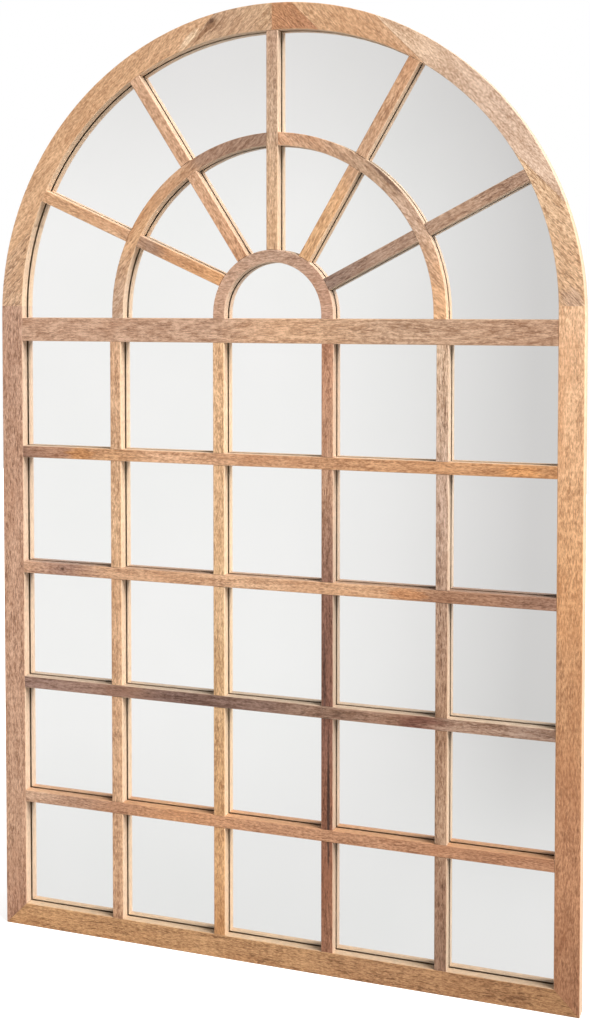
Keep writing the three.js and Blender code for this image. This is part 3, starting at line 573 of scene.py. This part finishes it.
def woodMaterial(name, board, seed):
    material, tree, shader, spot = newMaterial("mangoWood_" + name, specular=0.35)
    turn = math.radians(board["angle"])
    middle = Vector((board["middle"][0], 0, board["middle"][1])) / 1000

    def local(x, z):
        away = Vector((x, 0, z)) / 1000 - middle
        cos, sin = math.cos(turn), math.sin(turn)
        return (away.x * cos + away.z * sin, 0.0, away.z * cos - away.x * sin)

    inputs = {"Vector": spot, "Location": middle, "Rotation": (0, -turn, 0)}
    straightPlace = addNode(tree, "ShaderNodeMapping", inputs, vector_type="TEXTURE").outputs[0]
    place = straightPlace
    knotMarks = []
    for at, radius, knotTone in board["knots"]:
        inputs = {"Place": place, "Middle": local(*at), "Radius": radius / 1000}
        marks = useGroup(tree, knotGroup, inputs)
        place = calcVector(tree, "ADD", place, combine(tree, 0.0, 0.0, marks["Bend"]))
        knotMarks.append((linear(knotTone), marks))
    shifted = calcVector(tree, "ADD", place, (seed, seed, 0))
    wander = scaled(tree, noise(tree, shifted, (9, 60, 90), 4, 0.6), 0.12, -0.06)
    tone = toneAlong(tree, calc(tree, "ADD", split(tree, place)["X"], wander), board["tones"])
    for index, (at, (long, wide), patchTone, strength) in enumerate(board["patches"]):
        inputs = {"Place": place, "Middle": local(*at), "Size": (long / 1000, 1.0, wide / 1000)}
        inputs.update({"Seed": seed + index * 3.1, "Strength": strength})
        mask = useGroup(tree, patchGroup, inputs)["Mask"]
        tone = mixColour(tree, mask, tone, linear(patchTone))
    for knotTone, marks in knotMarks:
        halo = mixColour(tree, 0.5, tone, knotTone)
        tone = mixColour(tree, times(tree, marks["Halo"], 0.55), tone, halo)
        tone = mixColour(tree, marks["Knot"], tone, knotTone)
    inputs = {"Place": place, "Tone": tone, "Seed": seed}
    inputs.update({"Ring spacing": board["ringSpacing"] / 1000, "Heart": board["heart"] / 1000})
    for key in ("streaks", "fibres", "pores", "rings", "taper", "curl", "blotches"):
        inputs[key.capitalize()] = float(board[key])
    grain = useGroup(tree, grainGroup, inputs)
    inputs = {"Place": straightPlace, "Spot": spot, "Half width": board["halfWidth"] / 1000, "Seed": seed}
    if board["bend"]:
        for label, centre, radius in zip(("Outer", "Inner"), board["bend"][::2], board["bend"][1::2]):
            inputs[label + " centre"] = (centre[0] / 1000, 0, centre[1] / 1000)
            inputs[label + " radius"] = radius / 1000
    wearAndLightMarks = useGroup(tree, wearAndLightGroup, inputs)
    colour = grain["Color"]
    for mark, share, markTone in (
        # sides: partly their own paler wood, partly painted light for the sun on them
        ("Side", board["sideWoodAndLightShare"], linear(board["sideTone"])),
        # backs on the glass: partly their own bare wood, partly painted light in the shade there
        ("Back", board["backWoodAndLightShare"], linear(board["backWoodAndLightTone"])),
        ("Rub", 0.5, tinted(tree, tone, (1.16, 1.18, 1.18))),
        # a darker tone in the corner at the glass
        ("Corner darkening", 0.25, tinted(tree, tone, (0.62, 0.52, 0.44))),
    ):
        colour = mixColour(tree, times(tree, wearAndLightMarks[mark], share), colour, markTone)
    feed(tree, shader["Base Color"], colour)
    feed(tree, shader["Roughness"], scaled(tree, wearAndLightMarks["Rub"], -0.08, grain["Roughness"]))
    addBump(tree, shader, grain["Height"], 0.35, 0.0004)
    return material


# Smoothly shaded copy of a CAD node, for the pieces whose curves the CAD leaves in facets
def refined(name, sharpAngle=40, bevelWidth=0.0, segments=3):
    return evenlyShaded(addPiece(name + "_fine", nodes[name].data.copy()), sharpAngle, bevelWidth, segments)


# Joins doubled corners and takes out the edges that lie inside flat faces
def cleanedShape(mesh, flatAngle):
    shape = bmesh.new()
    shape.from_mesh(mesh)
    bmesh.ops.remove_doubles(shape, verts=shape.verts, dist=0.000002)
    flat = math.radians(flatAngle)
    bmesh.ops.dissolve_limit(shape, angle_limit=flat, verts=shape.verts, edges=shape.edges)
    bmesh.ops.recalc_face_normals(shape, faces=shape.faces)
    return shape


def evenlyShaded(piece, sharpAngle=40, bevelWidth=0.0, segments=3):
    piece.data.materials.clear()
    shape = cleanedShape(piece.data, 0.4)
    for face in shape.faces:
        face.smooth = True
    for edge in shape.edges:
        edge.smooth = edge.calc_face_angle(0) < math.radians(sharpAngle)
    shape.to_mesh(piece.data)
    shape.free()
    if bevelWidth:
        bevel = piece.modifiers.new("rounding", "BEVEL")
        bevel.width = bevelWidth
        bevel.segments = segments
        bevel.limit_method = "ANGLE"
        bevel.angle_limit = math.radians(sharpAngle)
    weighted = piece.modifiers.new("evenShade", "WEIGHTED_NORMAL")
    weighted.keep_sharp = True
    return settled(piece)


# Turns what the modifiers make into a plain mesh
def settled(piece):
    bpy.context.view_layer.update()
    done = bpy.data.meshes.new_from_object(piece.evaluated_get(bpy.context.evaluated_depsgraph_get()))
    piece.modifiers.clear()
    piece.data = done
    return piece


def standIn(piece, material, body, slot, *replaced):
    piece.data.materials.clear()
    piece.data.materials.append(material)
    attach(piece, body)
    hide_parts(*replaced)


def paint(name, material):
    for slot in nodes[name].material_slots:
        slot.material = material


# The straight bars are made here to their whole section, with their laps, end cuts and stub tenons. In mm.
barWork = {
    "front": -15, "lap": -6.25, "glassFace": 2.5, "arris": 1.5, "arrisSteps": 4, "play": 0.3,
    "tenon": {"length": 8, "halfWidth": 7.5, "near": -10, "far": -2},
    "transomTenon": {"length": 15, "halfWidth": 15, "near": -10, "far": -2},
    "levelHalf": 529, "uprightHalf": 565, "spokeHalf": 230,
    "past": (-25, 15),        # depths that the cutters reach, past the bars' front and back
    "transomTop": 1221, "arcFeet": (-319, -107.5, 107.5, 319),
}


# A closed prism between two places along a bar's line, from a section of (across, depth) points
def prismAlong(board, section, start, end):
    turn = math.radians(board["angle"])
    x, z = board["middle"]
    corners = []
    for run in (start, end):
        for across, depth in section:
            corners.append(((x + run * math.cos(turn) - across * math.sin(turn)) / 1000, depth / 1000,
                            (z + run * math.sin(turn) + across * math.cos(turn)) / 1000))
    return solidPiece(corners, prismFaces(len(section)))


def prismFaces(count):
    return bandFaces(0, count, count) + [tuple(reversed(range(count))), tuple(range(count, 2 * count))]


# Four-sided faces between two rounds of corners that start at these places in the list
def bandFaces(first, second, count):
    return [(first + i, first + (i + 1) % count, second + (i + 1) % count, second + i) for i in range(count)]


def solidPiece(corners, faces):
    mesh = bpy.data.meshes.new("solid")
    mesh.from_pydata(corners, [], faces)
    shape = bmesh.new()
    shape.from_mesh(mesh)
    bmesh.ops.recalc_face_normals(shape, faces=shape.faces)
    shape.to_mesh(mesh)
    shape.free()
    return addPiece("solid", mesh)


def blockAlong(board, start, end, halfWidth, near, far):
    section = [(-halfWidth, near), (halfWidth, near), (halfWidth, far), (-halfWidth, far)]
    return prismAlong(board, section, start, end)


# A flat ring round a centre in the mirror's plane, or a disc where there is no inner radius
def flatRing(centre, outer, inner, near, far, count=360):
    corners = []
    for depth in (near, far):
        for radius in (outer, inner) if inner else (outer,):
            for i in range(count):
                angle = 2 * math.pi * i / count
                corners.append(((centre[0] + radius * math.cos(angle)) / 1000, depth / 1000,
                                (centre[1] + radius * math.sin(angle)) / 1000))
    if not inner:
        return solidPiece(corners, prismFaces(count))
    rounds = ((0, 1), (1, 3), (3, 2), (2, 0))
    return solidPiece(corners, [f for a, b in rounds for f in bandFaces(a * count, b * count, count)])


def carved(piece, changes):
    for operation, tool in changes:
        change = piece.modifiers.new("joint", "BOOLEAN")
        change.operation = operation
        change.solver = "EXACT"
        change.object = tool
    settled(piece)
    for _, tool in changes:
        bpy.data.objects.remove(tool)
    return piece


def barBlank(board, half):
    wide, front, arris = board["halfWidth"], barWork["front"], barWork["arris"]
    quarter = [math.pi / 2 * i / barWork["arrisSteps"] for i in range(barWork["arrisSteps"] + 1)]
    section = [(-wide, barWork["glassFace"])]
    section += [(-wide + arris - arris * math.cos(a), front + arris - arris * math.sin(a)) for a in quarter]
    section += [(wide - arris + arris * math.sin(a), front + arris - arris * math.cos(a)) for a in quarter]
    section += [(wide, barWork["glassFace"])]
    return prismAlong(board, section, -half, half)


def tenons(board, half, kind="tenon", play=0.0):
    size = barWork[kind]
    reach, halfWidth = half + size["length"] + play, size["halfWidth"] + play
    return blockAlong(board, -reach, reach, halfWidth, size["near"] - play, size["far"] + play)


# Level bars lose the rear half of their depth where they cross, and upright bars the front half
def lapDepths(isInFront):
    return (barWork["lap"], barWork["past"][1]) if isInFront else (barWork["past"][0], barWork["lap"])


def crossings(prefix):
    return [board for name, board in boards.items() if name.startswith(prefix)]


def muntinJoints(isLevel):
    half, play = barWork["uprightHalf" if isLevel else "levelHalf"], barWork["play"]
    cutters = [blockAlong(other, -half, half, other["halfWidth"] + play, *lapDepths(isLevel))
               for other in crossings("upright" if isLevel else "level")]
    return [("DIFFERENCE", cutter) for cutter in cutters]


def transomJoints():
    play = barWork["play"]
    feet = [timber((x, barWork["transomTop"]), 90) for x in barWork["arcFeet"]]
    cutters = [tenons(board, barWork["uprightHalf"], play=play) for board in crossings("upright")]
    cutters += [tenons(board, 0, play=play) for board in feet]
    return [("DIFFERENCE", cutter) for cutter in cutters]


# Spokes end at the ring and the arch, and are lapped where the quarter arcs cross them
def spokeJoints(name, board):
    (ringCentre, ringRadius), play = ringBend[:2], barWork["play"]
    isCentre = name == "spoke_centre"
    sides = ("left", "right") if isCentre else (name.split("_")[1],)
    changes = []
    for side in sides:
        innerCentre, innerRadius = (archBend if side == "left" else archBendRight)[2:]
        changes.append(("INTERSECT", flatRing(innerCentre, innerRadius - play, 0, *barWork["past"])))
    changes.append(("DIFFERENCE", flatRing(ringCentre, ringRadius + play, 0, *barWork["past"])))
    inRing = math.dist(board["middle"], ringCentre) - ringRadius
    changes.append(("UNION", tenons(board, inRing)))
    for side in sides:
        centre, outer, _, inner = quarterLeftBend if side == "left" else quarterRightBend
        changes.append(("DIFFERENCE", flatRing(centre, outer + play, inner - play, *lapDepths(isCentre))))
    return changes


def makeBar(name, board):
    if name == "transom":
        half = barWork["levelHalf"]
        changes = [("UNION", tenons(board, half, "transomTenon"))] + transomJoints()
    elif name.startswith("spoke"):
        half = barWork["spokeHalf"]
        changes = spokeJoints(name, board)
    else:
        isLevel = name.startswith("level")
        half = barWork["levelHalf" if isLevel else "uprightHalf"]
        changes = [("UNION", tenons(board, half))] + muntinJoints(isLevel)
    piece = carved(barBlank(board, half), changes)
    piece.name = name + "_fine"
    return evenlyShaded(piece)


for seed, (name, board) in enumerate(boards.items(), 1):
    material = woodMaterial(name, board, seed)
    slot = "frame_wood" if name.startswith("arch") else "bar_wood"
    if board["bend"]:
        standIn(refined(name), material, "mirror", slot, name)
    elif name in ("left_stile", "right_stile", "bottom_rail"):
        paint(name, material)
    else:
        standIn(makeBar(name, board), material, "mirror", slot, name)
print("boards, bars and arcs in mango wood:", len(boards))


# Hidden tenons, in the same wood but plainer
def makeTenons():
    names = ("crown", "left_spring", "right_spring", "left_mitre", "right_mitre")
    tones = [(-600, (200, 168, 122)), (600, (198, 165, 118))]
    material = woodMaterial("tenons", timber((0, 1200), 90, pores=0.4, tones=tones), 31)
    for name in names:
        paint(name + "_tenon", material)


# The glass: a clear sheet whose back face is silvered
glass = {
    "tint": (250, 252, 251),
    "silver": (252, 252, 252),
    "silverRoughness": 0.0,
    "paint": 0.1,            # mm of backing paint between the silver and the board
}


def makeMirrorGlass():
    piece = addPiece("silvered_glass", nodes["mirror_glass"].data.copy())
    piece.data.materials.clear()
    shape = cleanedShape(piece.data, 0.2)
    backPlane = max(corner.co.y for corner in shape.verts)
    for corner in shape.verts:
        if corner.co.y > backPlane - glass["paint"] / 1000:
            corner.co.y = backPlane - glass["paint"] / 1000
    for face in shape.faces:
        face.smooth = False
        face.material_index = 1 if face.normal.y > 0.9 else 0
    shape.to_mesh(piece.data)
    shape.free()
    clear, tree, shader, spot = newMaterial("clearGlass", roughness=0.0)
    shader["Transmission Weight"].default_value = 1.0
    shader["IOR"].default_value = 1.5
    faint = noise(tree, spot, 3)
    feed(tree, shader["Base Color"], mixColour(tree, faint, linear(glass["tint"]), (1, 1, 1, 1)))
    silver, tree, shader, spot = newMaterial("silvering", glass["silverRoughness"], metallic=1.0)
    faint = noise(tree, spot, 6, 3)
    feed(tree, shader["Base Color"], mixColour(tree, faint, linear(glass["silver"]), (1, 1, 1, 1)))
    piece.data.materials.append(clear)
    piece.data.materials.append(silver)
    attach(piece, "mirror")
    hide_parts("mirror_glass")


makeTenons()
makeMirrorGlass()
print("tenons and mirror glass made")


# Backing board: brown hardboard with short pale fibres
backing = {"tone": (139, 107, 76), "fibre": (171, 140, 104), "fleck": (96, 70, 48)}


def makeBackingBoard():
    material, tree, shader, spot = newMaterial("hardboard", specular=0.3)
    fibres = noise(tree, spot, (900, 200, 260), 4, 0.7)
    crossed = noise(tree, spot, (240, 200, 980), 4, 0.7)
    cloud = noise(tree, spot, 7, 4, 0.6)
    share = rise(tree, calc(tree, "MAXIMUM", fibres, crossed), 0.5, 0.72)
    colour = mixColour(tree, share, linear(backing["tone"]), linear(backing["fibre"]))
    flecks = rise(tree, noise(tree, spot, 330), 0.64, 0.7)
    colour = mixColour(tree, flecks, colour, linear(backing["fleck"]))
    uneven = mixColour(tree, cloud, (0.84, 0.82, 0.80, 1), (1.12, 1.12, 1.12, 1))
    feed(tree, shader["Base Color"], mixColour(tree, 1.0, colour, uneven, "MULTIPLY"))
    feed(tree, shader["Roughness"], scaled(tree, fibres, 0.2, 0.68))
    addBump(tree, shader, calc(tree, "ADD", fibres, crossed), 0.3, 0.0003)
    paint("backing_board", material)


def steelMaterial(name, tone, warmth, roughness):
    material, tree, shader, spot = newMaterial(name, metallic=1.0)
    brushed = noise(tree, spot, (2600, 2600, 180), 2, 0.6)
    spangle = noise(tree, spot, 210, 3, 0.6)
    stain = rise(tree, noise(tree, spot, 75, 4, 0.65), 0.52, 0.72)
    colour = mixColour(tree, spangle, linear(tone), linear([c * 0.86 for c in tone]))
    colour = mixColour(tree, times(tree, stain, 0.5), colour, linear(warmth))
    feed(tree, shader["Base Color"], colour)
    feed(tree, shader["Roughness"], scaled(tree, stain, 0.12, scaled(tree, brushed, 0.16, roughness)))
    addBump(tree, shader, calc(tree, "ADD", brushed, spangle), 0.12, 0.0002)
    return material


# Every geometry tree ends in real geometry that carries its material
def endTree(tree, geometry, material, result):
    real = addNode(tree, "GeometryNodeRealizeInstances", {0: geometry}).outputs[0]
    finish = addNode(tree, "GeometryNodeSetMaterial", {"Geometry": real, "Material": material})
    feed(tree, result[0], finish.outputs[0])
    return tree


def runTree(piece, tree, values):
    modifier = piece.modifiers.new("made", "NODES")
    modifier.node_group = tree
    sockets = {item.name: item.identifier for item in tree.interface.items_tree if item.in_out == "INPUT"}
    for label, value in values.items():
        modifier[sockets[label]] = value
    settled(piece)


# Screws: one turned shape with a crossed recess, set on points by a geometry tree
boardScrews = {
    "length": 18, "point": 3, "shank": 1.75, "head": 3.5, "seat": 2.3, "rim": 0.02, "crown": 0.02,
    "crownRadius": 3.2, "recessWidth": 0.75, "recessLength": 3.6, "recessDepth": 1.3,
}
hangerScrews = {
    "length": 20, "point": 3, "shank": 1.9, "head": 3.8, "seat": 0.02, "rim": 1.1, "crown": 1.1,
    "crownRadius": 1.9, "recessWidth": 0.9, "recessLength": 3.0, "recessDepth": 1.2,
}


def makeScrewTree():
    inputs = {"Geometry": "Geometry", "seed": "Int", "material": "Material"}
    inputs.update(dict.fromkeys(boardScrews, "Float"))
    tree, given, result = newGroup("turnedScrews", inputs, {"Geometry": "Geometry"}, "GeometryNodeTree")

    # stations from the point up to the crown, at Z = 0 where the seat of the head ends
    below = times(tree, given["length"], -1.0)
    shankStart = calc(tree, "ADD", below, given["point"])
    seatStart = times(tree, given["seat"], -1.0)
    crownTop = calc(tree, "ADD", given["rim"], given["crown"])
    heights = [below, shankStart, seatStart, 0.0, given["rim"], crownTop]
    shank, head = given["shank"], given["head"]
    radii = [0.00005, shank, shank, head, head, given["crownRadius"]]
    line = addNode(tree, "GeometryNodeMeshLine", {"Count": len(heights)}, mode="OFFSET")
    index = addNode(tree, "GeometryNodeInputIndex").outputs[0]

    def picked(values):
        node = addNode(tree, "GeometryNodeIndexSwitch", data_type="FLOAT")
        while len(node.index_switch_items) < len(values):
            node.index_switch_items.new()
        for socket, value in zip(node.inputs, [index, *values]):
            feed(tree, socket, value)
        return node.outputs[0]

    station = combine(tree, 0.0, 0.0, picked(heights))
    moved = addNode(tree, "GeometryNodeSetPosition", {"Geometry": line.outputs[0], "Position": station})
    spine = addNode(tree, "GeometryNodeMeshToCurve", {"Mesh": moved.outputs[0]})
    sized = addNode(tree, "GeometryNodeSetCurveRadius", {0: spine.outputs[0], "Radius": picked(radii)})
    circle = addNode(tree, "GeometryNodeCurvePrimitiveCircle", {"Resolution": 28, "Radius": 1.0})
    radius = addNode(tree, "GeometryNodeInputRadius").outputs[0]
    inputs = {0: sized.outputs[0], 1: circle.outputs[0], "Scale": radius, "Fill Caps": True}
    turned = addNode(tree, "GeometryNodeCurveToMesh", inputs)
    cut = addNode(tree, "GeometryNodeMeshBoolean", {"Mesh 1": turned.outputs[0]}, operation="DIFFERENCE")
    bladeTop = times(tree, given["recessDepth"], 2.0)
    lift = combine(tree, 0.0, 0.0, crownTop)
    wide, long = given["recessWidth"], given["recessLength"]
    for size in (combine(tree, wide, long, bladeTop), combine(tree, long, wide, bladeTop)):
        blade = addNode(tree, "GeometryNodeMeshCube", {"Size": size}).outputs[0]
        raised = addNode(tree, "GeometryNodeTransform", {"Geometry": blade, "Translation": lift})
        tree.links.new(raised.outputs[0], cut.inputs["Mesh 2"])
    # each screw stops at its own angle
    inputs = {3: math.pi / 2, "Seed": given["seed"]}
    spin = addNode(tree, "FunctionNodeRandomValue", inputs, data_type="FLOAT").outputs[1]
    inputs = {"Points": given["Geometry"], "Instance": cut.outputs[0]}
    inputs["Rotation"] = combine(tree, -math.pi / 2, spin, 0.0)
    placed = addNode(tree, "GeometryNodeInstanceOnPoints", inputs)
    return endTree(tree, placed.outputs[0], given["material"], result)


def screwTop(name):
    low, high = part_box(name)
    return ((low.x + high.x) / 2, high.y, (low.z + high.z) / 2)


def makeScrews(name, sizes, seed, material, replaced):
    headHeight = (sizes["rim"] + sizes["crown"]) / 1000
    mesh = bpy.data.meshes.new(name)
    mesh.from_pydata([(x, y - headHeight, z) for x, y, z in map(screwTop, replaced)], [], [])
    piece = addPiece(name, mesh)
    values = {key: size / 1000 for key, size in sizes.items()}
    runTree(piece, screwTree, {**values, "seed": seed, "material": material})
    for face in piece.data.polygons:
        face.use_smooth = False
    standIn(piece, material, "mirror", "screw_steel", *replaced)


def makeHardware():
    zinc = steelMaterial("zincPlate", (196, 197, 199), (176, 160, 128), 0.26)
    brass = steelMaterial("yellowZinc", (203, 190, 150), (150, 128, 92), 0.30)
    names = [f"board_screw_{i + 1}" for i in range(12)]
    makeScrews("backing_screws", boardScrews, 7, brass, names)
    names = [f"{side}_hanger_screw_{i}" for side in ("left", "right") for i in (1, 2)]
    makeScrews("hanger_screws", hangerScrews, 11, zinc, names)
    for side in ("left", "right"):
        name = side + "_hanger_strap"
        standIn(refined(name, 30, 0.0003, 2), zinc, "mirror", "hanger_steel", name)
    return zinc


screwTree = makeScrewTree()
zinc = makeHardware()
makeBackingBoard()
print("backing board, screws and straps made")

# Hanger ring: round wire bent into a D, whose ends meet inside the eye
ring = {
    "eyeX": 560, "eyeY": 18.8, "eyeZ": 1180, "wire": 2.0,
    "halfWidth": 11.5, "shoulder": 3, "straight": 2, "gap": 0.6,
}


def ringPath(side):
    half, corner = ring["halfWidth"], ring["shoulder"]
    flat, bottom = half - corner, -corner - ring["straight"]
    quarter, bow = steps(0, math.pi / 2, 8), steps(0, math.pi, 40)
    path = [(ring["gap"] / 2, 0.0)]
    path += [(flat + corner * math.sin(a), -corner + corner * math.cos(a)) for a in quarter]
    path += [(half * math.cos(a), bottom - half * math.sin(a)) for a in bow]
    path += [(-flat - corner * math.cos(a), -corner + corner * math.sin(a)) for a in quarter]
    path += [(-ring["gap"] / 2, 0.0)]
    eyeX, eyeY, eyeZ = side * ring["eyeX"], ring["eyeY"], ring["eyeZ"]
    return [((eyeX + x) / 1000, eyeY / 1000, (eyeZ + z) / 1000) for x, z in path]


def steps(start, end, count):
    return [start + (end - start) * i / count for i in range(count + 1)]


def makeWireTree():
    inputs = {"Geometry": "Geometry", "radius": "Float", "material": "Material"}
    tree, given, result = newGroup("bentWire", inputs, {"Geometry": "Geometry"}, "GeometryNodeTree")
    path = addNode(tree, "GeometryNodeMeshToCurve", {"Mesh": given["Geometry"]}).outputs[0]
    inputs = {"Resolution": 20, "Radius": given["radius"]}
    circle = addNode(tree, "GeometryNodeCurvePrimitiveCircle", inputs).outputs[0]
    wire = addNode(tree, "GeometryNodeCurveToMesh", {0: path, 1: circle, "Fill Caps": True})
    return endTree(tree, wire.outputs[0], given["material"], result)


def makeRings():
    wireTree = makeWireTree()
    for side, label in ((-1, "left"), (1, "right")):
        path = ringPath(side)
        mesh = bpy.data.meshes.new(label + "_wire")
        mesh.from_pydata(path, [(i, i + 1) for i in range(len(path) - 1)], [])
        piece = addPiece(label + "_wire_ring", mesh)
        runTree(piece, wireTree, {"radius": ring["wire"] / 1000, "material": zinc})
        for face in piece.data.polygons:
            face.use_smooth = len(face.vertices) == 4
        standIn(piece, zinc, label + "_ring", "hanger_steel", label + "_hanger_ring")


# Rubber bumpers with a rounded rim
bumper = {"tone": (58, 56, 54), "dust": (104, 100, 94), "rounding": 0.0009}


def makeBumpers():
    material, tree, shader, spot = newMaterial("blackRubber", specular=0.3)
    cloud = noise(tree, spot, 260, 4, 0.6)
    share = rise(tree, cloud, 0.45, 0.75)
    colour = mixColour(tree, share, linear(bumper["tone"]), linear(bumper["dust"]))
    feed(tree, shader["Base Color"], colour)
    feed(tree, shader["Roughness"], scaled(tree, cloud, 0.2, 0.68))
    addBump(tree, shader, noise(tree, spot, 1500), 0.25, 0.0002)
    for name in ("left_bumper", "right_bumper"):
        standIn(refined(name, 40, bumper["rounding"], 4), material, "mirror", "bumper_rubber", name)


makeRings()
makeBumpers()
print("hanger rings and bumpers made")

bpy.context.scene.view_settings.view_transform = "Standard"
